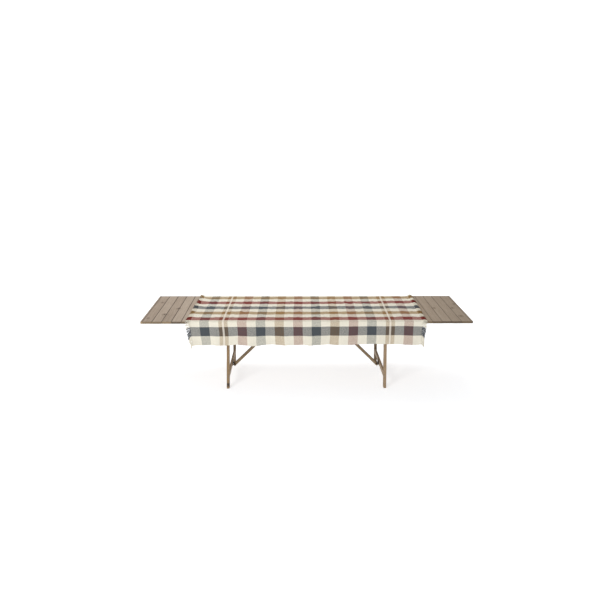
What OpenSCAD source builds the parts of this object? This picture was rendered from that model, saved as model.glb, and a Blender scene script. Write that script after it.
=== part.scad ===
/* [Table top] */
// Length of the table top, across all the boards
top_length = 3262; // [3100:2:3400]
// Width of the table top, which is the length of its longest boards
top_width = 911; // [860:1:960]
// Height of the table top above the floor
top_height = 750; // [730:1:780]
// Thickness of the boards
board_thickness = 22; // [19:1:26]
// Number of boards, all lying across the table
board_count = 34; // [30:1:36]
// Width of the two end boards
end_board_width = 113; // [96:1:120]
// Open joint between two boards
board_gap = 2.5; // [1:0.5:4]
// How much shorter than the longest one a board may be at each end
edge_unevenness = 2; // [0:0.5:3]

/* [Frame under the top] */
// Width of the two long rails
rail_width = 60; // [45:1:70]
// Thickness of the rails, the catch block and the notches in the battens
rail_thickness = 40; // [30:1:40]
// Distance from the middle of the table to the middle of a rail
rail_place = 230; // [160:1:250]
// How far a rail stops short of the end of the table
rail_setback = 31; // [10:1:60]
// Width of the batten that carries a pair of legs
batten_width = 44; // [36:1:50]
// How far a batten reaches down past the leg pivot
batten_below_pivot = 22; // [16:1:24]

/* [Leg frames] */
// Distance of a leg pivot from the middle of the table
pivot_reach = 787; // [760:1:800]
// Depth of the leg pivot under the table top
pivot_depth = 78; // [76:1:84]
// Thickness of a leg, along the table
leg_thickness = 27; // [20:1:28]
// Width of a leg, across the table
leg_width = 48; // [40:1:56]
// Distance from the table's long middle line to the outer face of a leg
leg_face = 375; // [360:1:400]
// Outward lean of the legs, in degrees
leg_splay = 1.6; // [0.5:0.1:2]
// Height of the stretcher
stretcher_height = 50; // [44:1:60]
// Thickness of the stretcher
stretcher_thickness = 20; // [16:1:20]
// Height of the stretcher's lower edge above the floor
stretcher_clearance = 112; // [90:1:112]

/* [Braces] */
// Thickness of a brace, seen from the front of the table
brace_thickness = 24; // [20:1:28]
// Width of a brace, across the table
brace_width = 44; // [36:1:48]
// Distance of the brace pivot from the stretcher's face
brace_pivot_offset = 29; // [28:1:36]
// Height of the brace pivot above the stretcher's lower edge
brace_pivot_rise = 12; // [12:1:28]
// How far the foot of a brace runs on past its pivot
brace_tail = 22; // [16:1:22]

/* [Fasteners] */
// Radius of the pivot bolts and the brace pins
pin_radius = 4; // [3:0.5:5]
// Running clearance round the pivot bolts and the brace pins
pin_clearance = 0.05; // [0.02:0.01:0.1]
// Radius of a wood screw's shank
screw_radius = 2.25; // [2:0.25:3]
// Radius of a wood screw's head
screw_head_radius = 4.5; // [4:0.25:5]

/* [Tablecloth] */
// Length of one repeat of the plaid, two stripes
plaid_repeat = 182.9; // [170:0.1:190]
// Sideways place of the cloth's middle
cloth_shift = 13.4; // [-20:0.1:20]
// Front drop of the cloth below the table top
front_drop = 238; // [200:1:260]
// Back drop of the cloth below the table top
back_drop = 223; // [200:1:260]
// Thickness of the cloth
cloth_thickness = 1.5; // [1:0.5:3]
// Width of the white bands that join the three panels
joining_band_width = 16; // [12:1:35]
// Length of the fringe at each end of the cloth
fringe_length = 56; // [30:1:70]

/* [Hidden] */
$fn = 48;
wood_old = "#a89a88";
wood_rail = "#8a7a66";
wood_leg = "#9a8062";
wood_brace = "#7a6850";
steel_dark = "#4a4038";
cloth_plaid = "#c9bba4";
cloth_white = "#f0e8da";

board_pitch = (top_length - 2 * end_board_width) / (board_count - 2);
underside = top_height - board_thickness;
rail_bottom = underside - rail_thickness;

pivot_height = top_height - pivot_depth;
leg_inner_face = leg_face - leg_width;
// End play beside a leg, where the bolt's flange runs.
side_play = 2;
flange_radius = 9;
flange_play = 0.4;
batten_half = leg_inner_face - side_play;
batten_bottom = pivot_height - batten_below_pivot;
bolt_bite = 60;
bolt_head_radius = 8;
bolt_head_height = 5;

// Distances measured down the leg from its pivot.
stretcher_low = (pivot_height - stretcher_clearance) / cos(leg_splay);
stretcher_high = stretcher_low - stretcher_height;
brace_pivot_down = stretcher_low - brace_pivot_rise;
brace_pivot_in = leg_thickness / 2 + brace_pivot_offset;
// The brace pivot in the table's own frame, on the right-hand side.
brace_foot = [
    pivot_reach - brace_pivot_in * cos(leg_splay) + brace_pivot_down * sin(leg_splay),
    pivot_height - brace_pivot_in * sin(leg_splay) - brace_pivot_down * cos(leg_splay)
];
// The brace rises at 45 degrees to the lower corner of the catch block.
catch_reach = brace_foot[0] - (rail_bottom - brace_foot[1]);
catch_width = 90;
seat_clearance = 0.4;
brace_length = (brace_foot[0] - catch_reach) * sqrt(2) - seat_clearance * sqrt(2);
mouth_depth = brace_thickness / 3;

bracket_plate = 3;
bracket_gap = 1;
pin_head_height = 2.5;
pin_overhang = 4;
screw_head_height = 3;
top_screw_bite = 14;
frame_screw_length = 95;

cloth_gap = 0.3;
drop_gap = 3;
// Open hairline between a panel and a joining band.
seam_gap = 0.1;
cloth_reach = top_width / 2 + drop_gap;
cloth_bottom_skin = top_height + cloth_gap;
seam_place = 4.5 * plaid_repeat;
woven_half = 6.25 * plaid_repeat;

board_names = [for (i = [1:board_count]) str("board_", i < 10 ? "0" : "", i)];

// Left edge and width of board number i, counted from the left.
function board_start(i) =
    i == 1 ? -top_length / 2 : -top_length / 2 + end_board_width + (i - 2) * board_pitch;
function board_span(i) = i == 1 || i == board_count ? end_board_width : board_pitch;
function board_middle(i) = board_start(i) + board_span(i) / 2;
// A board is cut short by an amount that differs from board to board.
function cut_short(i, turn) = edge_unevenness * (0.5 + 0.5 * sin(turn * i));

// Every screw of the top: one per board and rail, two per batten, four in the catch block.
top_screw_places = concat(
    [for (i = [1:board_count]) for (side = [-1, 1]) [board_middle(i), side * rail_place]],
    [for (end = [-1, 1]) for (side = [-1, 1]) [end * pivot_reach, side * batten_half * 0.37]],
    [for (end = [-1, 1]) for (side = [-1, 1]) [end * board_pitch * 1.5, side * catch_width * 0.31]]
);

// Everything on the left is the mirror image of the right.
module on_side(side) {
    if (side < 0) {
        mirror([1, 0, 0]) children();
    } else {
        children();
    }
}

// A bar of round section along Y.
module rod_y(radius, from, to) {
    translate([0, from, 0]) rotate([-90, 0, 0]) cylinder(r = radius, h = to - from);
}

// Turns a shape drawn under the pivot to the lean of the legs.
module in_leg_frame() {
    translate([pivot_reach, 0, pivot_height]) rotate([0, -leg_splay, 0]) children();
}

module board(i) {
    start = board_start(i) + (i == 1 ? 0 : board_gap / 2);
    stop = board_start(i) + board_span(i) - (i == board_count ? 0 : board_gap / 2);
    front = top_width / 2 - cut_short(i, 137.5);
    back = top_width / 2 - cut_short(i, 97.5);
    color(wood_old) difference() {
        translate([start, -front, underside]) cube([stop - start, front + back, board_thickness]);
        for (place = top_screw_places) {
            if (place[0] > start && place[0] < stop) {
                translate([place[0], place[1], underside - 1])
                    cylinder(r = screw_radius, h = top_screw_bite + 1);
            }
        }
    }
}

// Clearance for a screw's shank and its sunk head, up through a rail, batten or block.
module top_screw_hole(place, from) {
    translate([place[0], place[1], from - 1])
        cylinder(r = screw_head_radius, h = rail_bottom + screw_head_height - from + 1);
    translate([place[0], place[1], from]) cylinder(r = screw_radius, h = underside - from + 1);
}

module top_screw(place) {
    translate([place[0], place[1], rail_bottom]) {
        cylinder(r = screw_head_radius, h = screw_head_height);
        cylinder(r = screw_radius, h = rail_thickness + top_screw_bite);
    }
}

module top_screws() {
    color(steel_dark) for (place = top_screw_places) top_screw(place);
}

module rail_block(side, grow = 0) {
    reach = top_length / 2 - rail_setback;
    translate([-reach, side * rail_place - rail_width / 2, rail_bottom])
        cube([2 * reach, rail_width, rail_thickness + grow]);
}

module rail(side) {
    color(wood_rail) difference() {
        rail_block(side);
        for (place = top_screw_places) {
            if (abs(place[1] - side * rail_place) < rail_width / 2) {
                top_screw_hole(place, rail_bottom);
            }
        }
    }
}

module pivot_batten(side) {
    color(wood_rail) difference() {
        translate([side * pivot_reach - batten_width / 2, -batten_half, batten_bottom])
            cube([batten_width, 2 * batten_half, underside - batten_bottom]);
        rail_block(-1, 1);
        rail_block(1, 1);
        for (place = top_screw_places) {
            if (place[0] == side * pivot_reach) {
                top_screw_hole(place, batten_bottom);
            }
        }
        translate([side * pivot_reach, 0, pivot_height]) {
            rod_y(pin_radius, -batten_half - 1, -batten_half + bolt_bite);
            rod_y(pin_radius, batten_half - bolt_bite, batten_half + 1);
        }
    }
}

module brace_catch_block() {
    color(wood_rail) difference() {
        translate([-catch_reach, -catch_width / 2, rail_bottom])
            cube([2 * catch_reach, catch_width, rail_thickness]);
        for (place = top_screw_places) {
            if (abs(place[1]) < catch_width / 2) {
                top_screw_hole(place, rail_bottom);
            }
        }
    }
}

// A shouldered bolt: threaded end, flange between batten and leg, plain shank and head.
module pivot_bolt() {
    rod_y(pin_radius, batten_half - bolt_bite, leg_face + 1);
    rod_y(flange_radius, batten_half, leg_inner_face - flange_play);
    rod_y(bolt_head_radius, leg_face + flange_play, leg_face + flange_play + bolt_head_height);
}

module pivot_bolts() {
    color(steel_dark) for (end = [-1, 1]) {
        for (side = [0, 1]) {
            translate([end * pivot_reach, 0, pivot_height]) mirror([0, side, 0]) pivot_bolt();
        }
    }
}

// Screw places on a leg: both pass through the middle of the stretcher's end.
frame_screw_x = stretcher_thickness / 2 - leg_thickness / 2;
frame_screw_drops = [stretcher_high + 0.25 * stretcher_height, stretcher_low - 0.25 * stretcher_height];

module frame_screw(extra = 0) {
    rod_y(screw_head_radius, -leg_face - extra, -leg_face + screw_head_height);
    rod_y(screw_radius, -leg_face - extra, -leg_face + frame_screw_length);
}

module frame_screws_at(side, extra = 0) {
    for (drop = frame_screw_drops) {
        translate([frame_screw_x, 0, -drop]) mirror([0, side > 0 ? 1 : 0, 0]) frame_screw(extra);
    }
}

module frame_screws(end) {
    color(steel_dark) on_side(end) in_leg_frame() {
        frame_screws_at(-1);
        frame_screws_at(1);
    }
}

// A leg: round at the pivot, cut level with the floor at the foot.
module leg(end, side) {
    near = side < 0 ? -leg_face : leg_inner_face;
    color(wood_leg) on_side(end) difference() {
        in_leg_frame() difference() {
            union() {
                translate([-leg_thickness / 2, near, -pivot_height - 10])
                    cube([leg_thickness, leg_width, pivot_height + 10]);
                rod_y(leg_thickness / 2, near, near + leg_width);
            }
            rod_y(pin_radius + pin_clearance, near - 1, near + leg_width + 1);
            frame_screws_at(side, 1);
        }
        translate([0, -leg_face - 1, -100]) cube([2 * pivot_reach, 2 * leg_face + 2, 100]);
    }
}

module stretcher(end) {
    color(wood_rail) on_side(end) in_leg_frame() difference() {
        translate([-leg_thickness / 2, -leg_inner_face, -stretcher_low])
            cube([stretcher_thickness, 2 * leg_inner_face, stretcher_height]);
        frame_screws_at(-1);
        frame_screws_at(1);
    }
}

// A steel fork: a plate on the stretcher with two ears that hold the brace pin.
module brace_bracket(end) {
    ear_radius = pin_radius * 1.75;
    ear_start = brace_width / 2 + bracket_gap;
    color(steel_dark) on_side(end) in_leg_frame() translate([0, 0, -brace_pivot_down]) difference() {
        union() {
            translate([-leg_thickness / 2 - bracket_plate, -ear_start - 16, -brace_pivot_rise])
                cube([bracket_plate, 2 * ear_start + 32, stretcher_height]);
            for (side = [0, 1]) {
                mirror([0, side, 0]) {
                    translate([-brace_pivot_in, 0, 0])
                        rod_y(ear_radius, ear_start, ear_start + bracket_plate);
                    translate([-brace_pivot_in, ear_start, -ear_radius])
                        cube([brace_pivot_offset, bracket_plate, 2 * ear_radius]);
                }
            }
        }
        translate([-brace_pivot_in, 0, 0]) rod_y(pin_radius, -brace_width, brace_width);
    }
}

module brace_pin(end) {
    ear_face = brace_width / 2 + bracket_gap + bracket_plate;
    color(steel_dark) on_side(end) in_leg_frame()
        translate([-brace_pivot_in, 0, -brace_pivot_down]) {
            rod_y(pin_radius, -ear_face - pin_head_height, ear_face + pin_overhang);
            rod_y(pin_radius * 1.75, -ear_face - pin_head_height, -ear_face);
        }
}

// A brace, drawn along +X from its pivot, with a bird's mouth that seats on the catch block.
module brace_outline() {
    half = brace_thickness / 2;
    bevel = 4;
    tip = brace_length + mouth_depth;
    polygon([
        [-brace_tail, bevel - half], [bevel - brace_tail, -half], [tip, -half],
        [tip, -mouth_depth], [brace_length, 0], [tip, mouth_depth],
        [tip, half], [bevel - brace_tail, half], [-brace_tail, half - bevel]
    ]);
}

module brace(end) {
    color(wood_brace) on_side(end) translate([brace_foot[0], 0, brace_foot[1]]) difference() {
        rotate([90, -135, 0]) linear_extrude(height = brace_width, center = true) brace_outline();
        rod_y(pin_radius + pin_clearance, -brace_width, brace_width);
    }
}

// Section of the hanging cloth, with the table's width along X and height along Y.
module cloth_section() {
    inner = drop_gap - cloth_gap;
    outer = inner + cloth_thickness;
    bend = [cloth_reach - inner, cloth_bottom_skin - inner];
    translate([-bend[0], cloth_bottom_skin]) square([2 * bend[0], cloth_thickness]);
    for (side = [0, 1]) {
        hem = top_height - (side == 1 ? front_drop : back_drop);
        mirror([side, 0]) {
            translate(bend) intersection() {
                difference() {
                    circle(r = outer);
                    circle(r = inner);
                }
                square(outer);
            }
            translate([cloth_reach, hem]) square([cloth_thickness, bend[1] - hem]);
        }
    }
}

module cloth_piece(from, to) {
    translate([cloth_shift + from, 0, 0]) rotate([90, 0, 90])
        linear_extrude(height = to - from) cloth_section();
}

module cloth_panel_centre() {
    half = seam_place - joining_band_width / 2 - seam_gap;
    color(cloth_plaid) cloth_piece(-half, half);
}

// An end panel runs from its seam to the tips of its fringe.
module cloth_panel_end(end) {
    inner = seam_place + joining_band_width / 2 + seam_gap;
    outer = woven_half + fringe_length;
    color(cloth_plaid) cloth_piece(end < 0 ? -outer : inner, end < 0 ? -inner : outer);
}

module joining_band(end) {
    middle = end * seam_place;
    color(cloth_white)
        cloth_piece(middle - joining_band_width / 2, middle + joining_band_width / 2);
}

for (i = [1:board_count]) {
    board(i);
}
rail(-1);  // rail_front
rail(1);  // rail_back
pivot_batten(-1);  // pivot_batten_left
pivot_batten(1);  // pivot_batten_right
brace_catch_block();
top_screws();
pivot_bolts();
leg(-1, -1);  // leg_left_front
leg(-1, 1);  // leg_left_back
leg(1, -1);  // leg_right_front
leg(1, 1);  // leg_right_back
stretcher(-1);  // stretcher_left
stretcher(1);  // stretcher_right
frame_screws(-1);  // frame_screws_left
frame_screws(1);  // frame_screws_right
brace_bracket(-1);  // brace_bracket_left
brace_bracket(1);  // brace_bracket_right
brace_pin(-1);  // brace_pin_left
brace_pin(1);  // brace_pin_right
brace(-1);  // brace_left
brace(1);  // brace_right
cloth_panel_end(-1);  // cloth_panel_left
cloth_panel_centre();
cloth_panel_end(1);  // cloth_panel_right
joining_band(-1);  // joining_band_left
joining_band(1);  // joining_band_right
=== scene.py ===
"""A fringed plaid tablecloth on a folding board table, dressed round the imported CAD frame.

Lengths are in metres. A place on the cloth is given flat: along it from its middle, and across it
from its front hem.
"""

import math

import bmesh
import bpy
import numpy as np
from mathutils import Euler, Matrix, Vector


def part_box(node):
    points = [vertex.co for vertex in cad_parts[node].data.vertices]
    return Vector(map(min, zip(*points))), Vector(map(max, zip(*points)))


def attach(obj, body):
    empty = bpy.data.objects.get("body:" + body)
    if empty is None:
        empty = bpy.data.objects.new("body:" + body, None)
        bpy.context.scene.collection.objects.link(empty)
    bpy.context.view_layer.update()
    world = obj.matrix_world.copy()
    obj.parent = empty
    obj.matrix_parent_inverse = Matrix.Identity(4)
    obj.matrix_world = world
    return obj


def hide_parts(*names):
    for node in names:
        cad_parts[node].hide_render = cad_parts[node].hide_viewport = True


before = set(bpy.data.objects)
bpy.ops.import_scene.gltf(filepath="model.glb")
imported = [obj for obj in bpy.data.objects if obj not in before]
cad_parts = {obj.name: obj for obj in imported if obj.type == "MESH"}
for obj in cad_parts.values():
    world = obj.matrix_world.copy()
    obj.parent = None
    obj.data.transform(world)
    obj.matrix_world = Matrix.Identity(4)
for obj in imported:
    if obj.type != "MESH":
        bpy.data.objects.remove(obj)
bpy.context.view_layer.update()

# ---------------------------------------------------------------- sizes taken from the frame
BAND_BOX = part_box("joining_band_right")
CENTRE_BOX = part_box("cloth_panel_centre")
BAND_WIDTH = BAND_BOX[1].x - BAND_BOX[0].x
CLOTH_X = (CENTRE_BOX[0].x + CENTRE_BOX[1].x) / 2
SEAM = (BAND_BOX[0].x + BAND_BOX[1].x) / 2 - CLOTH_X
# A repeat is a coloured stripe and a cream one. The seams are 4.5 repeats from the middle.
REPEAT = SEAM / 4.5
WOVEN_HALF = 6.25 * REPEAT
CLOTH_WIDTH = 7.5 * REPEAT
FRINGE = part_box("cloth_panel_right")[1].x - CLOTH_X - WOVEN_HALF
BOARD_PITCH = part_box("board_03")[0].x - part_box("board_02")[0].x
FIRST_JOINT = (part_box("board_01")[1].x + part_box("board_02")[0].x) / 2
TABLE_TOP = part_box("board_10")[1].z
TABLE_HALF = max(-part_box(f"board_{i:02d}")[0].y for i in range(1, 35))
FRONT_DROP = TABLE_TOP - CENTRE_BOX[0].z

# ---------------------------------------------------------------- the cloth's own sizes
SEED = 7
CLOTH_THICK = 0.0011
BAND_THICK = 0.0009
BAND_LAP = 0.0012  # how far a joining band laps over each panel
LIFT = 0.0012  # gap between the cloth and the boards
YARN_PITCH = 0.0021
SLUB_RUN = 0.12
STRIPE_WAVER = 0.006
STRIPE_FRAY = 0.0022
TAPE_PITCH = 0.0014
HERRING_PITCH = 0.006
TWISTS_PER_METRE = 230.0
FRINGE_PITCH = 0.0016
STITCH_PITCH = 0.0065
STITCH_RADIUS = 0.00045
SEAM_INSET = 0.002
SELVEDGE_RADIUS = 0.0011
HEM = 0.0006  # how far the outermost yarn is from the edge

# The bends over the table's edges: their length, how far out they reach, and where they start.
BEND_RADIUS = 0.008
QUARTER = BEND_RADIUS * math.pi / 2
REACH = CENTRE_BOX[1].y - 0.0005
FRONT_BEND = FRONT_DROP + LIFT + CLOTH_THICK / 2 - BEND_RADIUS
BACK_BEND = FRONT_BEND + QUARTER + 2 * (REACH - BEND_RADIUS)

# How far apart its mesh lines are.
COARSE_MESH = 0.0085
DROP_MESH = 0.009
END_MESH = 0.005
HEM_MESH = 0.004
BAND_MESH = 0.003
BEND_MESH = 0.0018

# How far it has moved from a cloth that hangs straight.
SLIP_BACK = 0.0075
SLIP_LESS_AT_END = 0.006
DROP_SWING = 0.007
DROP_SWAY = 0.006
DROP_FLARE = 0.006
HEM_WAVE = 0.0035
HEM_SAG = 0.0045
DROP_SLIDE = 0.003
DRAWN_IN = 0.009
EDGE_PULL = 0.016
EDGE_SKEW = 0.005
CORNER_PULL = 0.012
RIDGE_HEIGHT = 0.0017
PUCKER_HEIGHT = 0.0017
LOOSE_HEIGHT = 0.006
CURL_HEIGHT = 0.0065

# ---------------------------------------------------------------- light and camera
SKY_LIGHT = 0.38
BACKDROP_LIGHT = 1.1
FLOOR_GLOW = (0.62, 0.90)
FLOOR_HALF = 30.0
KEY_POWER = 126
TOP_POWER = 87
CAMERA_PLACE = (-0.151, -5.908, 2.570)
CAMERA_TILT = 90 - 16.06
CAMERA_HEADING = -0.83
CAMERA_ROLL = 0.17
CAMERA_LENS = 35.2
SENSOR_WIDTH = 36

# ---------------------------------------------------------------- colours
# Crossing yarns blend best between screen values and true light, so yarn colours are kept at this
# power until Shader.light.
BLEND = 1.45


def yarn_colour(red, green, blue):
    """A yarn colour from screen values of 0 to 1."""
    return red**BLEND, green**BLEND, blue**BLEND


CREAM = yarn_colour(0.945, 0.920, 0.850)
SLATE = yarn_colour(0.320, 0.335, 0.356)
SLATE_WEFT = yarn_colour(0.292, 0.322, 0.330)
RED = yarn_colour(0.500, 0.170, 0.145)
ROSE = yarn_colour(0.510, 0.280, 0.240)
GOLD = yarn_colour(0.615, 0.480, 0.300)
TAN = yarn_colour(0.555, 0.410, 0.225)
WHITE = yarn_colour(0.955, 0.912, 0.845)
# Pale grey that loose yarn is lifted towards: partly its fluff, partly a painted sheen.
FLUFF_AND_SHEEN = (0.62, 0.58, 0.52)
COTTON = {"Specular_IOR_Level": 0.2, "Sheen_Roughness": 0.5}

# Linear colours of the wood, from dark to light, of its marks and of the steel.
BOARD_TONES = [
    (0.21, 0.152, 0.105), (0.365, 0.28, 0.21), (0.458, 0.366, 0.283), (0.565, 0.468, 0.37),
]
LEG_TONES = [(0.16, 0.095, 0.05), (0.28, 0.185, 0.105), (0.36, 0.25, 0.15), (0.45, 0.33, 0.22)]
RAIL_TONES = [(0.14, 0.102, 0.07), (0.26, 0.195, 0.135), (0.335, 0.265, 0.195), (0.42, 0.345, 0.27)]
CROSS_TONES = [(0.17, 0.12, 0.078), (0.33, 0.245, 0.165), (0.43, 0.33, 0.235), (0.53, 0.425, 0.315)]
BRACE_TONES = [(0.105, 0.067, 0.035), (0.215, 0.147, 0.08), (0.3, 0.213, 0.122), (0.4, 0.3, 0.18)]
END_GRAIN_TONES = [(0.10, 0.072, 0.047), (0.37, 0.265, 0.145)]
# Dark brown of knot hearts, and of the dirt and painted shade in the board joints.
KNOT_DIRT_AND_SHADE = (0.055, 0.036, 0.024)
CRACK = (0.07, 0.05, 0.035)
KNOT_RING = (0.17, 0.115, 0.075)
BROWN_STAIN = (0.30, 0.21, 0.10)
BROWN_TINT = (0.87, 0.82, 0.70)
DARK_FOOT_BAND = (0.045, 0.030, 0.020)
SCREW_STEEL = (0.26, 0.24, 0.22)
DARK_IRON = (0.070, 0.050, 0.034)
RUST = (0.20, 0.09, 0.04)

# Knots on the bare ends of the table: place along and across it, and size.
KNOTS = [
    (-1.443, -0.219, 0.013), (-1.337, -0.018, 0.012), (-1.581, -0.340, 0.009),
    (-1.551, 0.203, 0.009), (1.542, -0.011, 0.012), (1.558, -0.285, 0.012),
    (1.598, 0.135, 0.009), (1.350, -0.011, 0.010),
]


# ---------------------------------------------------------------- node helpers
class Shader:
    """A material's node tree, with short calls that add a node and wire it."""

    def __init__(self, name, **fixed):
        self.material = bpy.data.materials.new(name)
        self.material.use_nodes = True
        self.tree = self.material.node_tree
        self.main = self.tree.nodes["Principled BSDF"]
        for socket, value in fixed.items():
            self.main.inputs[socket.replace("_", " ")].default_value = value

    def plug(self, value, socket):
        """Wires value into socket, or sets it there if it is a number or a colour."""
        if isinstance(value, bpy.types.NodeSocket):
            self.tree.links.new(value, socket)
        elif socket.type == "RGBA":
            socket.default_value = (*value, 1)
        else:
            socket.default_value = value

    def give(self, name, value):
        """Sets or wires one of the surface's own inputs."""
        self.plug(value, self.main.inputs[name])

    def add(self, kind, inputs=(), **settings):
        new = self.tree.nodes.new(kind)
        for key, value in settings.items():
            setattr(new, key, value)
        for key, value in dict(inputs).items():
            self.plug(value, new.inputs[key])
        return new

    # numbers
    def math(self, operation, *values):
        return self.add("ShaderNodeMath", enumerate(values), operation=operation).outputs[0]

    def chain(self, operation, first, *others):
        """Applies a two-value operation from left to right."""
        for other in others:
            first = self.math(operation, first, other)
        return first

    def plus(self, *values):
        return self.chain("ADD", *values)

    def times(self, *values):
        return self.chain("MULTIPLY", *values)

    def minus(self, a, b):
        return self.math("SUBTRACT", a, b)

    def ratio(self, a, b):
        return self.math("DIVIDE", a, b)

    def size(self, value):
        return self.math("ABSOLUTE", value)

    def wave(self, value):
        return self.math("SINE", value)

    def distance(self, a, b):
        return self.math("SQRT", self.plus(self.times(a, a), self.times(b, b)))

    def span(self, value, low, high, to_low=0.0, to_high=1.0, smooth=False):
        """value from low..high, turned to to_low..to_high and held there."""
        kind = "SMOOTHSTEP" if smooth else "LINEAR"
        ends = {"From Min": low, "From Max": high, "To Min": to_low, "To Max": to_high}
        inputs = {"Value": value, **ends}
        return self.add("ShaderNodeMapRange", inputs, interpolation_type=kind).outputs[0]

    def noise(self, vector, scale=1.0, detail=2.0, roughness=0.5):
        inputs = {"Scale": scale, "Detail": detail, "Roughness": roughness, "Vector": vector}
        return self.add("ShaderNodeTexNoise", inputs).outputs["Fac"]

    def wobble(self, vector, scale, detail, amount):
        """Noise about zero."""
        return self.times(self.minus(self.noise(vector, scale, detail), 0.5), amount)

    def chance(self, number):
        """A random value of 0 to 1 for each value of number."""
        noise = self.add("ShaderNodeTexWhiteNoise", {"W": number}, noise_dimensions="1D")
        return noise.outputs["Value"]

    # places
    def vector(self, x, y, z=0.0):
        return self.add("ShaderNodeCombineXYZ", enumerate((x, y, z))).outputs[0]

    def parts(self, vector):
        return self.add("ShaderNodeSeparateXYZ", {0: vector}).outputs

    def coordinate(self, name):
        return self.add("ShaderNodeTexCoord").outputs[name]

    def uv(self, layer):
        return self.add("ShaderNodeUVMap", uv_map=layer).outputs[0]

    # colours
    def mix(self, factor, a, b, blend="MIX"):
        new = self.add("ShaderNodeMix", {"Factor": factor}, data_type="RGBA", blend_type=blend)
        self.plug(a, new.inputs[6])
        self.plug(b, new.inputs[7])
        return new.outputs[2]

    def tinted(self, colour, tint):
        return self.mix(1.0, colour, tint, "MULTIPLY")

    def scaled(self, colour, factor):
        return self.tinted(colour, self.vector(factor, factor, factor))

    def ramp(self, value, stops, interpolation="LINEAR"):
        new = self.add("ShaderNodeValToRGB", {"Fac": value})
        new.color_ramp.interpolation = interpolation
        elements = new.color_ramp.elements
        while len(elements) < len(stops):
            elements.new(1)
        for element, (place, colour) in zip(elements, stops):
            element.position = place
            element.color = (*colour, 1)
        return new.outputs[0]

    def light(self, colour):
        """Turns a yarn colour into the linear colour that the shader takes."""
        return self.add("ShaderNodeGamma", {"Color": colour, "Gamma": 2.2 / BLEND}).outputs[0]

    def bump(self, height, distance, strength):
        inputs = {"Height": height, "Distance": distance, "Strength": strength}
        self.give("Normal", self.add("ShaderNodeBump", inputs).outputs[0])


# ---------------------------------------------------------------- cloth materials
def stripe_stops(first, second, third, coloured_first):
    """Six equal steps: three colours with cream between them."""
    order = [first, CREAM, second, CREAM, third, CREAM]
    if not coloured_first:
        order = order[-1:] + order[:-1]
    return [(i / 6, colour) for i, colour in enumerate(order)]


def lengthwise_colour(shade, across):
    """Colour of the yarns that run along the cloth, by their place across it."""
    turn = shade.math("FRACT", shade.ratio(across, 3 * REPEAT))
    return shade.ramp(turn, stripe_stops(SLATE, RED, GOLD, False), "CONSTANT")


def crosswise_colour(shade, along):
    """Colour of the yarns that run across the cloth, by their place along it."""
    turn = shade.math("FRACT", shade.ratio(shade.minus(along, 0.25 * REPEAT), 3 * REPEAT))
    return shade.ramp(turn, stripe_stops(SLATE_WEFT, TAN, ROSE, True), "CONSTANT")


def weave(shade, along, across, pitch):
    """(how much of the crosswise yarn shows, height) of a plain weave with yarns a pitch apart."""
    wave_along = shade.wave(shade.times(along, math.pi / pitch))
    wave_across = shade.wave(shade.times(across, math.pi / pitch))
    crown = shade.math("MAXIMUM", shade.size(wave_along), shade.size(wave_across))
    return shade.times(wave_along, wave_across), crown


def slubs(shade, along, across, run, pitch):
    """Uneven thickness and dye along each yarn: noise drawn out along the yarn."""
    return shade.noise(shade.vector(shade.ratio(along, run), shade.ratio(across, pitch)), 1.0, 3.0)


def plaid_material():
    """Woven checks, with wavering stripes, uneven yarns and faded patches."""
    shade = Shader("plaid cotton", Roughness=0.92, Sheen_Weight=0.13, **COTTON)
    flat = shade.uv("flat")
    along, across, _ = shade.parts(flat)
    waver = shade.wobble(flat, 9.0, 2.0, STRIPE_WAVER)
    uneven = shade.plus(waver, shade.wobble(flat, 420.0, 1.0, STRIPE_FRAY))
    over, crown = weave(shade, along, across, YARN_PITCH)
    shown = shade.span(over, -0.35, 0.35, 0.17, 0.53, smooth=True)
    # Pulled flat on the table, the lengthwise yarns cover a little more of the crosswise ones.
    onto = shade.span(across, FRONT_BEND, FRONT_BEND + QUARTER)
    off = shade.span(across, BACK_BEND, BACK_BEND + QUARTER, 1.0, 0.0)
    shown = shade.times(shown, shade.span(shade.math("MINIMUM", onto, off), 0.0, 1.0, 1.0, 0.8))
    lengthwise = lengthwise_colour(shade, shade.minus(across, uneven))
    crosswise = crosswise_colour(shade, shade.plus(along, uneven))
    along_slub = slubs(shade, along, across, SLUB_RUN, YARN_PITCH)
    across_slub = slubs(shade, across, along, SLUB_RUN, YARN_PITCH)
    slub = shade.times(shade.plus(along_slub, across_slub), 0.5)
    fade = shade.span(slub, 0.25, 0.75, 0.86, 1.12)
    patch = shade.span(shade.noise(flat, 5.0, 3.0), 0.3, 0.7, 0.965, 1.03)
    # Painted shade: the gaps between the yarns are darker.
    gap_shade = shade.span(crown, 0.35, 0.95, 0.80, 1.02)
    colour = shade.light(shade.mix(shown, lengthwise, crosswise))
    shade.give("Base Color", shade.scaled(colour, shade.times(fade, patch, gap_shade)))
    shade.bump(shade.plus(crown, shade.times(slub, 1.2)), 0.0005, 0.7)
    return shade.material


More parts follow.
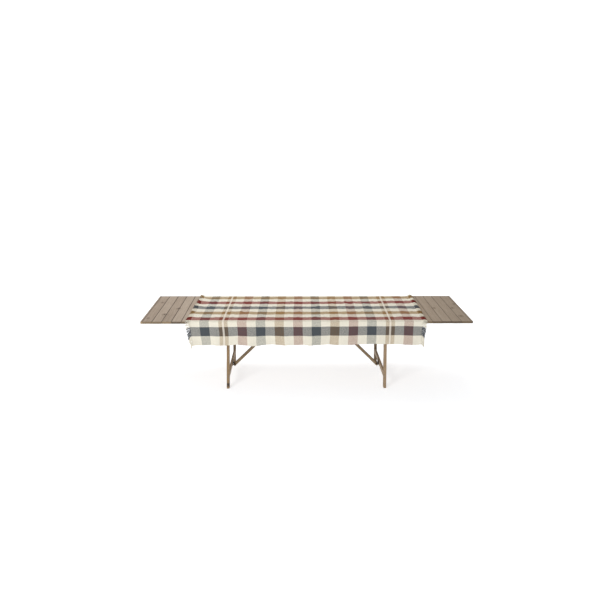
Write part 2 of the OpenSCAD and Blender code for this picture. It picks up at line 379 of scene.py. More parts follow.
def yarn_material(name, colour_at):
    """Twisted yarn; colour_at gives its colour by its place on the cloth."""
    shade = Shader(name, Roughness=0.9, Sheen_Weight=0.1, **COTTON)
    along, across, _ = shade.parts(shade.uv("flat"))
    round_place, run, _ = shade.parts(shade.uv("strand"))
    turn = shade.plus(round_place, shade.times(run, TWISTS_PER_METRE))
    ply = shade.size(shade.wave(shade.times(turn, 2 * math.pi)))
    # Loose yarn's colour is lifted towards pale grey: partly its fluff, partly a painted sheen.
    colour = shade.light(shade.mix(0.09, colour_at(shade, along, across), FLUFF_AND_SHEEN))
    fuzz = shade.noise(shade.vector(shade.times(across, 900.0), shade.times(run, 60.0)), 1.0)
    # Painted shade: the grooves between the plies are darker.
    tone = shade.times(shade.span(ply, 0.0, 0.6, 0.70, 1.04), shade.span(fuzz, 0.3, 0.7, 0.88, 1.1))
    shade.give("Base Color", shade.scaled(colour, tone))
    shade.bump(ply, 0.0004, 0.8)
    return shade.material


def fringe_colour(shade, _, across):
    return lengthwise_colour(shade, across)


def selvedge_colour(shade, along, across):
    """At a hem the crosswise yarns turn back round the last lengthwise ones, and cover most of
    them."""
    return shade.mix(0.65, lengthwise_colour(shade, across), crosswise_colour(shade, along))


def white_colour(shade, *_):
    return shade.vector(*WHITE)


def band_material():
    """Herringbone tape, thin enough for the row under it to show a little."""
    shade = Shader(
        "white joining tape", Roughness=0.85, Specular_IOR_Level=0.3, Sheen_Weight=0.1,
        Sheen_Roughness=0.5,
    )
    along, across, _ = shade.parts(shade.uv("flat"))
    _, crown = weave(shade, along, across, TAPE_PITCH)
    herring = shade.wave(shade.times(shade.plus(along, across), 2 * math.pi / HERRING_PITCH))
    slub = slubs(shade, across, along, 0.08, TAPE_PITCH)
    uneven = shade.span(slub, 0.3, 0.7, 0.90, 1.06)
    # Painted shade: the gaps between the yarns are darker.
    gap_shade = shade.span(crown, 0.35, 0.95, 0.86, 1.0)
    base = shade.light(shade.mix(0.26, WHITE, lengthwise_colour(shade, across)))
    shade.give("Base Color", shade.scaled(base, shade.times(uneven, gap_shade)))
    shade.bump(shade.plus(crown, shade.times(herring, 0.25)), 0.0004, 0.6)
    return shade.material


# ---------------------------------------------------------------- cloth shape
def lines_between(stops):
    """Mesh lines from (place, spacing up to the next place) pairs. The last pair ends the row."""
    rows = []
    for (start, spacing), (stop, _) in zip(stops, stops[1:]):
        count = max(1, round((stop - start) / spacing))
        rows.append(np.linspace(start, stop, count, endpoint=False))
    return np.append(np.concatenate(rows), stops[-1][0])


def lengthwise_lines():
    """Places of the mesh lines along the cloth, with lines on both edges of each joining band."""
    inner, outer = SEAM - BAND_WIDTH / 2, SEAM + BAND_WIDTH / 2
    near_end = WOVEN_HALF - 0.03
    return lines_between([
        (-WOVEN_HALF, END_MESH), (-near_end, COARSE_MESH),
        (-outer, BAND_MESH), (-inner, COARSE_MESH),
        (inner, BAND_MESH), (outer, COARSE_MESH),
        (near_end, END_MESH), (WOVEN_HALF, 0.0),
    ])


def crosswise_lines():
    """Places of the mesh lines across the cloth, close together where it bends over the table."""
    spare = 0.012
    near_hem = 0.02
    return lines_between([
        (0.0, HEM_MESH), (near_hem, DROP_MESH),
        (FRONT_BEND - spare, BEND_MESH), (FRONT_BEND + QUARTER + spare, COARSE_MESH),
        (BACK_BEND - spare, BEND_MESH), (BACK_BEND + QUARTER + spare, DROP_MESH),
        (CLOTH_WIDTH - near_hem, HEM_MESH), (CLOTH_WIDTH, 0.0),
    ])


def smooth_noise(u, v, size_u, size_v, rng):
    """A sum of slow random waves, about -1 to 1."""
    waves = 14
    total = np.zeros(np.broadcast(u, v).shape)
    for _ in range(waves):
        turn = rng.uniform(0, 2 * math.pi)
        bend = rng.normal(0, 1, 2)
        total = total + np.sin(2 * math.pi * (bend[0] * u / size_u + bend[1] * v / size_v) + turn)
    return total / math.sqrt(waves / 2)


def soft_step(value):
    """0 to 1, with a smooth start and stop."""
    value = np.clip(value, 0, 1)
    return value * value * (3 - 2 * value)


def hung(u, v):
    """Where a point of the cloth lies when it hangs over the table without a wrinkle."""
    top = TABLE_TOP + LIFT + CLOTH_THICK / 2
    front_turn = np.clip(v - FRONT_BEND, 0, QUARTER) / BEND_RADIUS
    back_turn = np.clip(v - BACK_BEND, 0, QUARTER) / BEND_RADIUS
    y = BEND_RADIUS * (1 - np.cos(front_turn)) + BEND_RADIUS * np.sin(back_turn) - REACH
    y = y + np.clip(v - FRONT_BEND - QUARTER, 0, BACK_BEND - FRONT_BEND - QUARTER)
    z = top - BEND_RADIUS + np.minimum(v - FRONT_BEND, 0) + BEND_RADIUS * np.sin(front_turn)
    z = z - BEND_RADIUS * (1 - np.cos(back_turn)) - np.maximum(v - BACK_BEND - QUARTER, 0)
    return np.stack([u + CLOTH_X, y, z], -1)


def wave_drops(points, uu, vv, depth, rng):
    """Swings the drops out in slow waves, more so at the ends, and draws their ends in."""
    side = np.where(points[..., 1] < 0, -1.0, 1.0)
    near_end = np.clip((np.abs(uu) - WOVEN_HALF + 0.22) / 0.22, 0, 1) ** 2
    sway = smooth_noise(uu, vv * 0.15, 0.42, 1.0, rng)
    sway = sway + 0.5 * smooth_noise(uu, vv * 0.3, 0.17, 1.0, rng)
    swing = DROP_SWING + DROP_SWAY * sway + DROP_FLARE * near_end
    points[..., 1] += side * depth**1.25 * swing
    wave = HEM_WAVE * smooth_noise(uu, vv * 0.1, 0.30, 1.0, rng)
    points[..., 2] += depth**2 * (wave - HEM_SAG)
    slide = smooth_noise(uu, vv, 0.9, 0.4, rng)
    inwards = DRAWN_IN * uu / WOVEN_HALF
    points[..., 0] += depth * (DROP_SLIDE * slide + DROP_SLIDE - inwards)


def pull_to_left(points, uu, vv, depth):
    """The front edge has been pulled to the left, and on the table its left corner a bit more."""
    ahead = 1 - np.clip((vv - FRONT_BEND) / (BACK_BEND - FRONT_BEND), 0, 1)
    points[..., 0] -= ahead * (EDGE_PULL + EDGE_SKEW * uu / WOVEN_HALF)
    forward = np.clip(1 - vv / (0.7 * CLOTH_WIDTH), 0, 1) * (1 - depth)
    points[..., 0] -= CORNER_PULL * forward * np.clip(-uu / WOVEN_HALF, 0, 1) ** 2


def unevenness(uu, vv, rng):
    """How far the cloth stands up: ridges, puckers, a loose part and curled ends."""
    ridges = np.abs(smooth_noise(uu + 0.35 * vv, vv, 0.30, 0.55, rng))
    pucker = smooth_noise(uu, vv, 0.085, 0.11, rng)
    stripe = np.cos(2 * math.pi * vv / REPEAT) ** 2
    height = RIDGE_HEIGHT * np.maximum(1.3 - ridges, 0) ** 2
    height = height + PUCKER_HEIGHT * np.maximum(pucker + 0.4, 0) * (0.3 + 0.7 * stripe)
    # Near its right-hand end it is loose along the back.
    loose = np.exp(-(((uu / WOVEN_HALF - 0.84) / 0.12) ** 2))
    height = height + LOOSE_HEIGHT * loose * np.clip(2 * vv / CLOTH_WIDTH - 0.5, 0, 1)
    # The ends curl up less at the front.
    curl = np.clip((np.abs(uu) - WOVEN_HALF + 0.11) / 0.11, 0, 1) ** 2
    curl = curl * np.clip((vv - 0.25) / 0.4, 0.25, 1)
    uneven = np.clip(smooth_noise(uu, vv, 0.6, 0.16, rng) + 1.0, 0.15, 1.8)
    return height + CURL_HEIGHT * curl * uneven


def cloth_grid():
    """The cloth as it lies: puckers and soft ridges on the table, slow waves down the drops."""
    u, v = lengthwise_lines(), crosswise_lines()
    uu, vv = np.meshgrid(u, v, indexing="ij")
    # It has slipped back a few millimetres towards its right-hand end, less so at the very end.
    slip = SLIP_BACK * np.clip(uu / WOVEN_HALF, 0, 1) ** 0.7
    slip = slip - SLIP_LESS_AT_END * np.clip((uu - WOVEN_HALF + 0.15) / 0.15, 0, 1)
    points = hung(uu, vv + slip)
    rng = np.random.default_rng(SEED)
    depth = np.clip((TABLE_TOP - points[..., 2]) / FRONT_DROP, 0, 1)
    wave_drops(points, uu, vv, depth, rng)
    pull_to_left(points, uu, vv, depth)
    inland = soft_step((REACH - np.abs(points[..., 1])) / 0.09)
    points[..., 2] += inland * unevenness(uu, vv, rng)
    return u, v, points


class Surface:
    """The cloth's middle surface: a place and a direction for every point of the flat cloth."""

    def __init__(self, u, v, points):
        self.u, self.v, self.points = u, v, points
        along = np.gradient(points, u, axis=0)
        across = np.gradient(points, v, axis=1)
        self.normals = self.unit(np.cross(along, across))

    @staticmethod
    def unit(vectors):
        return vectors / np.maximum(np.linalg.norm(vectors, axis=-1, keepdims=True), 1e-9)

    def at(self, u, v, height=0.0):
        """Points at flat places (u, v), raised by height along the outward normal."""
        u, v = np.broadcast_arrays(np.asarray(u, float), np.asarray(v, float))
        i = np.clip(np.searchsorted(self.u, u, "right") - 1, 0, len(self.u) - 2)
        j = np.clip(np.searchsorted(self.v, v, "right") - 1, 0, len(self.v) - 2)
        fu = ((u - self.u[i]) / (self.u[i + 1] - self.u[i]))[..., None]
        fv = ((v - self.v[j]) / (self.v[j + 1] - self.v[j]))[..., None]

        def blend(field):
            low = field[i, j] * (1 - fu) + field[i + 1, j] * fu
            high = field[i, j + 1] * (1 - fu) + field[i + 1, j + 1] * fu
            return low * (1 - fv) + high * fv

        normal = self.unit(blend(self.normals))
        return blend(self.points) + normal * np.asarray(height)[..., None], normal


def mesh_object(name, vertices, faces, uv_layers, material, smooth=True):
    """A new object; each UV layer has one place for each vertex."""
    mesh = bpy.data.meshes.new(name)
    mesh.from_pydata(vertices.reshape(-1, 3).tolist(), [], faces.tolist())
    loops = np.empty(len(mesh.loops), np.int32)
    mesh.loops.foreach_get("vertex_index", loops)
    for layer, values in uv_layers.items():
        data = mesh.uv_layers.new(name=layer).data
        data.foreach_set("uv", values.reshape(-1, 2)[loops].ravel())
    mesh.polygons.foreach_set("use_smooth", [smooth] * len(mesh.polygons))
    mesh.materials.append(material)
    new = bpy.data.objects.new(name, mesh)
    bpy.context.scene.collection.objects.link(new)
    return new


def grid_faces(rows, columns):
    """Quads over rows x columns vertices."""
    index = np.arange(rows * columns).reshape(rows, columns)
    corners = [index[:-1, :-1], index[1:, :-1], index[1:, 1:], index[:-1, 1:]]
    return np.stack(corners, -1).reshape(-1, 4)


def woven_piece(name, surface, u_lines, v_lines, height, thickness, material):
    """A closed sheet over part of the cloth."""
    uu, vv = np.meshgrid(u_lines, v_lines, indexing="ij")
    points, _ = surface.at(uu, vv, np.full(uu.shape, height))
    flat = np.stack([uu, vv], -1)
    piece = mesh_object(name, points, grid_faces(*uu.shape), {"flat": flat}, material)
    solid = piece.modifiers.new("thickness", "SOLIDIFY")
    solid.thickness = thickness
    solid.offset = 0
    return piece


def tubes(name, paths, radii, flat, material, sides=6):
    """Many strands in one mesh. paths is strands x points x 3. flat is their place on the cloth,
    one for each strand or one for each of its points."""
    strands, count, _ = paths.shape
    tangent = Surface.unit(np.gradient(paths, axis=1))
    across = Surface.unit(np.cross(tangent, (0.12, 0.99, 0.07)))
    other = np.cross(tangent, across)
    turn = np.linspace(0, 2 * math.pi, sides, endpoint=False)
    ring = np.cos(turn)[:, None] * across[:, :, None] + np.sin(turn)[:, None] * other[:, :, None]
    vertices = paths[:, :, None] + ring * radii[..., None, None]
    index = np.arange(strands * count * sides).reshape(strands, count, sides)
    beside = np.roll(index, -1, axis=2)
    walls = np.stack([index[:, :-1], beside[:, :-1], beside[:, 1:], index[:, 1:]], -1)
    length = np.linalg.norm(np.diff(paths, axis=1), axis=-1).cumsum(axis=1)
    length = np.concatenate([np.zeros((strands, 1)), length], axis=1)
    shape = (strands, count, sides)
    flat_uv = np.broadcast_to(flat.reshape(strands, -1, 1, 2), (*shape, 2))
    around = np.broadcast_to(turn / (2 * math.pi), shape)
    strand_uv = np.stack([around, np.broadcast_to(length[..., None], shape)], -1)
    caps = np.concatenate([index[:, 0, ::-1], index[:, -1]])
    layers = {"flat": flat_uv, "strand": strand_uv}
    new = mesh_object(name, vertices, walls.reshape(-1, 4), layers, material)
    close_ends(new, caps)
    return new


def close_ends(piece, caps):
    """Adds a flat cap to both ends of each strand."""
    work = bmesh.new()
    work.from_mesh(piece.data)
    work.verts.ensure_lookup_table()
    for cap in caps:
        work.faces.new([work.verts[i] for i in cap])
    work.to_mesh(piece.data)
    work.free()


# How the loose yarns lie at each end.
# On the table: rise of the tips and of their middles at the back; push of all tips, and of the
# coloured and the cream ones, towards the back.
# On the drops: share of the way to the middle of their tuft, how unlike the tufts are, how soon
# they reach their full droop, and droop in degrees and length at the table's edge and at the hem.
FRINGE_HABITS = {
    "left": {
        "rise": 0.016, "hump": 0.004, "push": 0.0, "brushed": (0.028, -0.014),
        "gather": (0.25, 0.75), "unlike": 1.0, "soon": 1.15,
        "droop": (8, 88), "length": (0.98, 1.28),
    },
    "right": {
        "rise": 0.002, "hump": 0.012, "push": -0.012, "brushed": (0.0, 0.0),
        "gather": (0.0, 0.25), "unlike": 0.3, "soon": 1.8,
        "droop": (7, 60), "length": (0.98, 0.98),
    },
}


def fringe(name, end, habit, surface, material):
    """Loose yarn ends past the woven edge, gathering into tufts: they lie on the boards and droop
    at the drops."""
    rng = np.random.default_rng(SEED + (1 if end > 0 else 2))
    v = np.arange(FRINGE_PITCH / 2, CLOTH_WIDTH, FRINGE_PITCH)[:, None]
    v = np.clip(v + rng.uniform(-0.35, 0.35, v.shape) * FRINGE_PITCH, HEM, CLOTH_WIDTH - HEM)
    tufts = np.cumsum(rng.uniform(0.011, 0.026, 200))
    tuft = np.abs(v - tufts).argmin(axis=1)

    def each(low, high):
        """A random value for each strand."""
        return rng.uniform(low, high, v.shape)

    def each_tuft(low, high):
        """A random value for each tuft, given to all its strands."""
        return rng.uniform(low, high, (len(tufts), 1))[tuft]

    steps = np.linspace(0, 1, 10)[None]
    root, _ = surface.at(np.full(len(v), end * (WOVEN_HALF - 0.003)), v[:, 0])
    root_x, root_y, root_z = root[:, :1], root[:, 1:2], root[:, 2:]
    depth = np.clip((TABLE_TOP - root_z) / FRONT_DROP, 0, 1)
    hanging = np.clip(depth / 0.03, 0, 1)
    lying = 1 - hanging
    outward = np.where(root_y < 0, -1.0, 1.0)
    at_back = np.clip((v - FRONT_BEND - 0.14) / 0.5, 0, 1.4)
    coloured = np.floor(v / (REPEAT / 2)) % 2 == 1

    uneven = lying + hanging * habit["unlike"]
    to_middle = tufts[tuft][:, None] - v
    gathered = to_middle * (lying * each(0.15, 0.75) + hanging * each(*habit["gather"]))
    gathered = gathered + uneven * each_tuft(-0.004, 0.004)
    brushed = at_back * np.where(coloured, *habit["brushed"])
    push = lying * (habit["push"] + brushed) * each_tuft(0.7, 1.2)
    stray = rng.normal(0, 0.0016, v.shape) * np.sin(steps * math.pi * each(0.8, 2.0))
    sideways = (gathered + push) * steps**1.7 + stray

    length = FRINGE * each(0.86, 1.04) * np.interp(depth, (0, 1), habit["length"])
    droop = np.interp(depth * habit["soon"], (0, 1), habit["droop"])
    droop = droop + uneven * (4 * each(-1, 1) + 5 * each_tuft(-1, 1))
    angle = np.radians(droop) * np.minimum(steps * 2.0, 1.0) * hanging
    stride = length / steps.size
    out = np.cumsum(np.cos(angle) * stride, axis=1) - np.cos(angle[:, :1]) * stride
    down = np.cumsum(np.sin(angle) * stride, axis=1) - np.sin(angle[:, :1]) * stride
    out = out * np.sqrt(np.clip(1 - (push / length) ** 2, 0.3, 1))

    hump = habit["hump"] * np.minimum(at_back, 1) + each(0.0, 0.005) + each_tuft(0.0, 0.006)
    rise = habit["rise"] * np.minimum(at_back, 1) * np.where(coloured, 1.0, 0.3)
    rise = rise * each_tuft(0.7, 1.1)
    bed = TABLE_TOP + LIFT
    on_table = bed + (root_z - bed) * (1 - steps) ** 2 + rise * steps**1.4
    x = root_x + end * out
    y = root_y + sideways * lying + outward * hanging * each(0.0012, 0.0062) * steps
    z = on_table * lying + (root_z - down - outward * sideways) * hanging
    z = z + hump * np.sin(steps * math.pi * 0.85) * lying
    thick = each(0.00115, 0.0015) * (1 - 0.4 * steps**5)
    flat = np.concatenate([np.full(v.shape, end * WOVEN_HALF), v], axis=1)
    return tubes(name, np.stack([x, y, z], -1), thick, flat, material)


def selvedge(name, surface, u_lines, place, material):
    """The firm woven edge along a long side of a panel."""
    flat = np.stack([u_lines, np.full(len(u_lines), place)], -1)
    points, _ = surface.at(*flat.T)
    radii = np.full((1, len(u_lines)), SELVEDGE_RADIUS)
    return tubes(name, points[None], radii, flat, material, sides=8)


def stitches(name, surface, lines, material):
    """Short sewn stitches along the joining bands."""
    steps = np.linspace(-0.5, 0.5, 5)
    # The thread lies on the tape and dives into it at both ends of a stitch.
    height = 0.0013 - 0.0018 * (2 * steps) ** 4
    paths, flats = [], []
    for u in lines:
        for place in np.arange(0.006, CLOTH_WIDTH - 0.004, STITCH_PITCH):
            across = place + steps * STITCH_PITCH * 0.68
            points, _ = surface.at(np.full(steps.size, u), across, height)
            paths.append(points)
            flats.append((u, place))
    radii = np.full((len(paths), steps.size), STITCH_RADIUS)
    return tubes(name, np.array(paths), radii, np.array(flats), material, sides=5)


# ---------------------------------------------------------------- wood and steel
def knot_fields(shade, x, y, knots):
    """(sideways push on the grain, dark heart, ring round it) of a board's knots."""
    push, heart, ring = 0.0, 0.0, 0.0
    for knot_x, knot_y, size in knots:
        dx = shade.ratio(shade.minus(x, knot_x), size)
        dy = shade.ratio(shade.minus(y, knot_y), size * 1.3)
        away = shade.distance(dx, dy)
        near = shade.math("EXPONENT", shade.times(away, -0.55))
        push = shade.plus(push, shade.times(dx, near, size * 1.6))
        heart = shade.math("MAXIMUM", heart, shade.span(away, 0.55, 1.15, 1.0, 0.0, smooth=True))
        from_ring = shade.size(shade.minus(away, 1.7))
        halo = shade.span(from_ring, 0.0, 0.9, 1.0, 0.0, smooth=True)
        ring = shade.math("MAXIMUM", ring, halo)
    return push, heart, ring


def corner_number(shade, x, y):
    """Tells apart the alike pieces in the four corners of the table."""
    side, half = shade.math("SIGN", x), shade.math("SIGN", y)
    return shade.plus(shade.times(side, 1.37), shade.times(half, 2.71))


def board_number(shade, x, _):
    """Which board a place is on, counted from the first joint."""
    return shade.math("FLOOR", shade.ratio(shade.minus(x, FIRST_JOINT), BOARD_PITCH))


def wood_material(name, tones, grain, knots=(), number=corner_number, marks_and_shade=None):
    """Old wood. tones run from dark to light, grain is the axis the fibres follow, number tells
    pieces apart, and marks_and_shade adds dirt, tints, marks and painted shade."""
    shade = Shader(name, Roughness=0.75)
    place = shade.coordinate("Object")
    x, y, z = shade.parts(place)
    along, across, third = {"X": (x, y, z), "Y": (y, x, z), "Z": (z, x, y)}[grain]
    chance = shade.chance(number(shade, x, y))
    shift = shade.times(chance, 31.0)
    push, heart, ring = knot_fields(shade, x, y, knots)
    bend = shade.minus(across, push)
    start = shade.plus(shade.times(along, 1.5), shift)
    slow = shade.vector(start, shade.times(bend, 9.0), shade.times(third, 9.0))
    slow = shade.times(shade.noise(slow), 9.0)
    growth = shade.plus(shade.times(bend, 95.0), slow, shade.times(third, 60.0))
    rings = shade.math("POWER", shade.size(shade.wave(shade.times(growth, 3.0))), 0.6)

    def drawn_out(length, width, detail):
        """Noise that is stretched along the grain."""
        sideways = shade.plus(shade.times(bend, width), shift)
        at = shade.vector(shade.times(along, length), sideways, shade.times(third, width))
        return shade.noise(at, 1.0, detail, 0.6)

    fibres = drawn_out(14.0, 520.0, 4.0)
    streaks = drawn_out(3.0, 90.0, 3.0)
    blotch = shade.noise(place, 4.0, 4.0, 0.6)
    unlike = shade.minus(chance, 0.5)
    shares = (rings, 0.26), (fibres, 0.42), (streaks, 0.48), (blotch, 0.25), (unlike, 0.20)
    mixed = shade.plus(*(shade.times(field, share) for field, share in shares))
    stops = [(i / (len(tones) - 1), tone) for i, tone in enumerate(tones)]
    colour = shade.ramp(shade.span(mixed, 0.42, 1.06), stops)
    cracks = shade.span(drawn_out(2.2, 260.0, 2.0), 0.66, 0.74)
    colour = shade.mix(shade.times(cracks, 0.45), colour, CRACK)
    colour = shade.mix(shade.times(ring, 0.45), colour, KNOT_RING)
    colour = shade.mix(shade.times(heart, 0.9), colour, KNOT_DIRT_AND_SHADE)
    if marks_and_shade is not None:
        colour = marks_and_shade(shade, colour, x, y, z)
    shade.give("Base Color", colour)
    shade.give("Roughness", shade.span(fibres, 0.3, 0.7, 0.86, 0.62))
    height = shade.plus(fibres, shade.times(rings, 0.4))
    shade.bump(shade.minus(height, shade.times(cracks, 1.2)), 0.0007, 0.7)
    return shade.material


def board_dirt_and_shade(shade, colour, x, y, z):
    """Dirt and painted shade along the joints, a browner right-hand leaf, and dark sawn ends that
    differ from board to board."""
    turn = shade.plus(shade.ratio(shade.minus(x, FIRST_JOINT), BOARD_PITCH), 0.5)
    from_joint = shade.size(shade.minus(shade.math("FRACT", turn), 0.5))
    ragged = shade.noise(shade.vector(x, shade.times(y, 0.3), z), 60.0, 3.0)
    ragged = shade.times(ragged, 0.004)
    from_joint = shade.plus(shade.times(from_joint, BOARD_PITCH), ragged)
    at_joint = shade.span(from_joint, 0.0030, 0.0085, 1.0, 0.0, smooth=True)
    # Dirt and painted shade: the joints between the boards are darker, less so to the right.
    off_joint = shade.minus(1.0, shade.times(shade.span(x, -0.2, 0.2, 0.80, 0.50), at_joint))
    from_edge = shade.plus(shade.minus(TABLE_HALF, shade.size(y)), ragged)
    rim = shade.span(from_edge, 0.002, 0.018, 0.80, 1.0, smooth=True)
    browner = shade.mix(0.17, colour, BROWN_STAIN)
    browner = shade.scaled(browner, shade.span(x, 1.2, 1.6, 0.98, 0.88))
    colour = shade.mix(shade.span(x, -0.2, 0.2), colour, browner)
    colour = shade.mix(off_joint, KNOT_DIRT_AND_SHADE, shade.scaled(colour, rim))
    facing = shade.span(shade.size(shade.parts(shade.coordinate("Normal"))[1]), 0.5, 0.9)
    pores = shade.noise(shade.vector(shade.times(x, 300.0), z, shade.times(z, 700.0)), 1.0, 3.0)
    board_end = shade.plus(board_number(shade, x, y), shade.times(shade.math("SIGN", y), 40.5))
    tone = shade.plus(shade.times(pores, 0.6), shade.times(shade.chance(board_end), 0.35))
    tone = shade.minus(tone, shade.span(x, -1.53, -1.50, -0.16, 0.02))
    tone = shade.minus(tone, shade.span(x, -0.2, 0.2, 0.0, 0.05))
    ends = shade.ramp(shade.span(tone, 0.30, 0.80), list(enumerate(END_GRAIN_TONES)))
    return shade.mix(facing, colour, ends)


def leg_tint_and_shade(shade, colour, x, y, z):
    """Painted shade on the back legs, the left front leg browner, and a dark band near its foot."""
    left_front = shade.times(shade.math("LESS_THAN", x, 0.0), shade.math("LESS_THAN", y, 0.0))
    colour = shade.mix(left_front, colour, shade.tinted(colour, BROWN_TINT))
    # Painted shade: the back legs are darker, as in the shade under the cloth.
    colour = shade.scaled(colour, shade.span(y, -0.05, 0.05, 1.0, 0.62))
    # A dark band low on the left front leg.
    low = shade.times(shade.span(z, 0.018, 0.026), shade.span(z, 0.056, 0.066, 1.0, 0.0))
    rough = shade.span(shade.noise(shade.vector(x, y, z), 90.0, 3.0), 0.35, 0.6)
    amount = shade.times(left_front, low, shade.plus(0.6, shade.times(rough, 0.35)))
    return shade.mix(amount, colour, DARK_FOOT_BAND)


def steel_material(name, tone, smoothest):
    """Dull steel with rust in its rougher places."""
    shade = Shader(name, Metallic=1.0, Roughness=0.5)
    rust = shade.noise(shade.coordinate("Object"), 140.0, 5.0, 0.65)
    lighter = tuple(1.5 * c for c in tone)
    colour = shade.ramp(shade.span(rust, 0.3, 0.7), [(0.0, tone), (0.6, lighter), (1.0, RUST)])
    shade.give("Base Color", colour)
    shade.give("Roughness", shade.span(rust, 0.3, 0.7, smoothest, 0.85))
    shade.bump(rust, 0.0003, 0.5)
    return shade.material


def dress(node, material, bevel):
    """Gives a CAD node its material and breaks its sharp edges."""
    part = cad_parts[node]
    if not part.material_slots:
        part.data.materials.append(material)
    for place in part.material_slots:
        place.material = material
    worn = part.modifiers.new("worn edges", "BEVEL")
    worn.width = bevel
    worn.segments = 3
    worn.limit_method = "ANGLE"
    worn.angle_limit = math.radians(40)


def dress_table():
    """Wood and steel for every piece but the cloth, told apart by their names."""
    boards = wood_material("weathered boards", BOARD_TONES, "Y", KNOTS, board_number, board_dirt_and_shade)
    legs = wood_material("leg wood with painted shade", LEG_TONES, "Z", marks_and_shade=leg_tint_and_shade)
    rails = wood_material("rail wood", RAIL_TONES, "X")
    cross = wood_material("cross member wood", CROSS_TONES, "Y")
    braces = wood_material("brace wood", BRACE_TONES, "X")
    screws = steel_material("dull screws", SCREW_STEEL, 0.4)
    iron = steel_material("dark iron", DARK_IRON, 0.6)
    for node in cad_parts:
        if node.startswith("board_"):
            dress(node, boards, 0.0018)
        elif node.startswith("leg_"):
            dress(node, legs, 0.003)
        elif node.startswith(("rail_", "brace_catch")):
            dress(node, rails, 0.002)
        elif node.startswith(("stretcher_", "pivot_batten")):
            dress(node, cross, 0.002)
        elif node in ("brace_left", "brace_right"):
            dress(node, braces, 0.002)
        elif "screws" in node:
            dress(node, screws, 0.0003)
        elif node.startswith(("brace_", "pivot_bolts")):
            dress(node, iron, 0.0004)


# ---------------------------------------------------------------- cloth pieces
def lay_cloth():
    """The panels, joining bands, hems and fringes, in place of the frame's plain ones."""
    surface = Surface(*cloth_grid())
    plaid = plaid_material()
    yarn = yarn_material("twisted fringe yarn", fringe_colour)
    hem_yarn = yarn_material("selvedge yarn", selvedge_colour)
    thread = yarn_material("white sewing thread", white_colour)
    tape = band_material()
    inner = SEAM - BAND_WIDTH / 2
    outer = SEAM + BAND_WIDTH / 2
    spans = {"left": (-WOVEN_HALF, -outer), "centre": (-inner, inner), "right": (outer, WOVEN_HALF)}
    hems = {"front": HEM, "back": CLOTH_WIDTH - HEM}
    panels, trims = {}, {}
    for name, (start, stop) in spans.items():
        u_lines = surface.u[(surface.u > start - 1e-6) & (surface.u < stop + 1e-6)]
        panels[name] = woven_piece(
            f"panel_{name}", surface, u_lines, surface.v, 0.0, CLOTH_THICK, plaid
        )
        trims[name] = [
            selvedge(f"selvedge_{name}_{hem}", surface, u_lines, place, hem_yarn)
            for hem, place in hems.items()
        ]
        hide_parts(f"cloth_panel_{name}")
    for name, end in (("left", -1), ("right", 1)):
        yarns = fringe(f"fringe_threads_{name}", end, FRINGE_HABITS[name], surface, yarn)
        trims[name].append(yarns)
        half = BAND_WIDTH / 2 + BAND_LAP
        across = np.linspace(-half, half, 11) + end * SEAM
        band = woven_piece(f"band_{name}", surface, across, surface.v, BAND_THICK, BAND_THICK, tape)
        seams = (end * SEAM - half + SEAM_INSET, end * SEAM + half - SEAM_INSET)
        sewing = stitches(f"band_stitches_{name}", surface, seams, thread)
        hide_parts(f"joining_band_{name}")
        for piece in (band, sewing):
            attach(piece, "tablecloth")
    for name in spans:
        for piece in [panels[name], *trims[name]]:
            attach(piece, "tablecloth")


# ---------------------------------------------------------------- studio
def area_light(name, place, target, size, power):
    """A softbox that faces its target."""
    data = bpy.data.lights.new(name, "AREA")
    data.shape = "RECTANGLE"
    data.size, data.size_y = size
    data.energy = power
    lamp = bpy.data.objects.new(name, data)
    lamp.location = place
    lamp.rotation_mode = "QUATERNION"
    lamp.rotation_quaternion = (Vector(target) - Vector(place)).to_track_quat("-Z", "Y")
    bpy.context.scene.collection.objects.link(lamp)


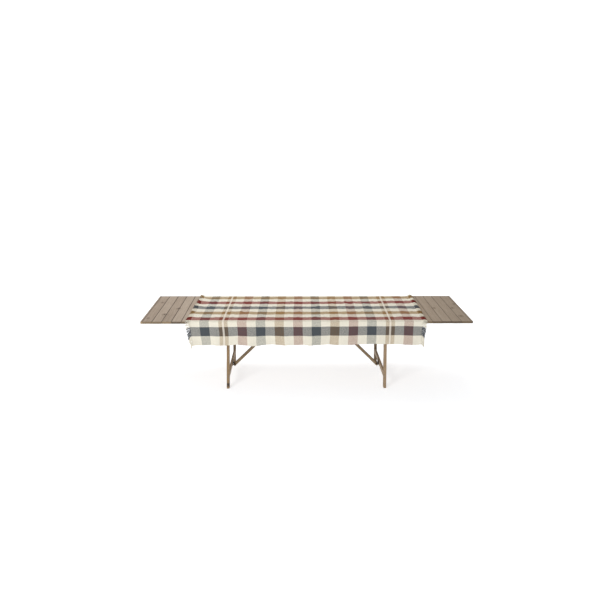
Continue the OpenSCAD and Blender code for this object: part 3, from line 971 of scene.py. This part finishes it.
def white_world():
    """A white backdrop to the camera, and a weaker sky as light."""
    world = bpy.data.worlds.new("white studio")
    world.use_nodes = True
    tree = world.node_tree
    sky = tree.nodes["Background"]
    sky.inputs["Color"].default_value = (1, 1, 1, 1)
    seen = tree.nodes.new("ShaderNodeLightPath").outputs["Is Camera Ray"]
    strength = tree.nodes.new("ShaderNodeMapRange")
    strength.inputs["To Min"].default_value = SKY_LIGHT
    strength.inputs["To Max"].default_value = BACKDROP_LIGHT
    tree.links.new(seen, strength.inputs["Value"])
    tree.links.new(strength.outputs[0], sky.inputs["Strength"])
    return world


def white_floor():
    """A floor that glows a little, so that only soft shadows show on it."""
    shade = Shader(
        "white floor", Roughness=1.0, Specular_IOR_Level=0.0, Base_Color=(0.8, 0.8, 0.8, 1),
        Emission_Color=(0.95, 0.97, 1.0, 1),
    )
    x, y, _ = shade.parts(shade.coordinate("Object"))
    glow = shade.span(shade.distance(x, y), 1.2, 4.0, *FLOOR_GLOW, smooth=True)
    shade.give("Emission Strength", glow)
    corners = FLOOR_HALF * np.array([(-1.0, -1, 0), (1, -1, 0), (1, 1, 0), (-1, 1, 0)])
    face = np.array([[0, 1, 2, 3]])
    floor = mesh_object("studio_floor", corners, face, {}, shade.material, smooth=False)
    floor.location.z = -0.0005


def studio():
    """Backdrop, floor, lights and camera."""
    scene = bpy.context.scene
    scene.view_settings.view_transform = "Standard"
    scene.world = white_world()
    white_floor()
    area_light("key softbox", (-3.1, -5.2, 3.9), (0, 0, 0.6), (1.8, 1.8), KEY_POWER)
    area_light("top softbox", (-0.5, 1.7, 4.2), (0, 0, 0.7), (4.0, 2.0), TOP_POWER)

    data = bpy.data.cameras.new("camera")
    data.sensor_width = SENSOR_WIDTH
    data.lens = CAMERA_LENS
    data.clip_end = 200
    camera = bpy.data.objects.new("camera", data)
    camera.location = CAMERA_PLACE
    aim = Euler((math.radians(CAMERA_TILT), 0, math.radians(CAMERA_HEADING))).to_matrix()
    roll = Matrix.Rotation(math.radians(CAMERA_ROLL), 3, "Z")
    camera.rotation_euler = (aim @ roll).to_euler()
    scene.collection.objects.link(camera)
    scene.camera = camera


studio()
dress_table()
lay_cloth()
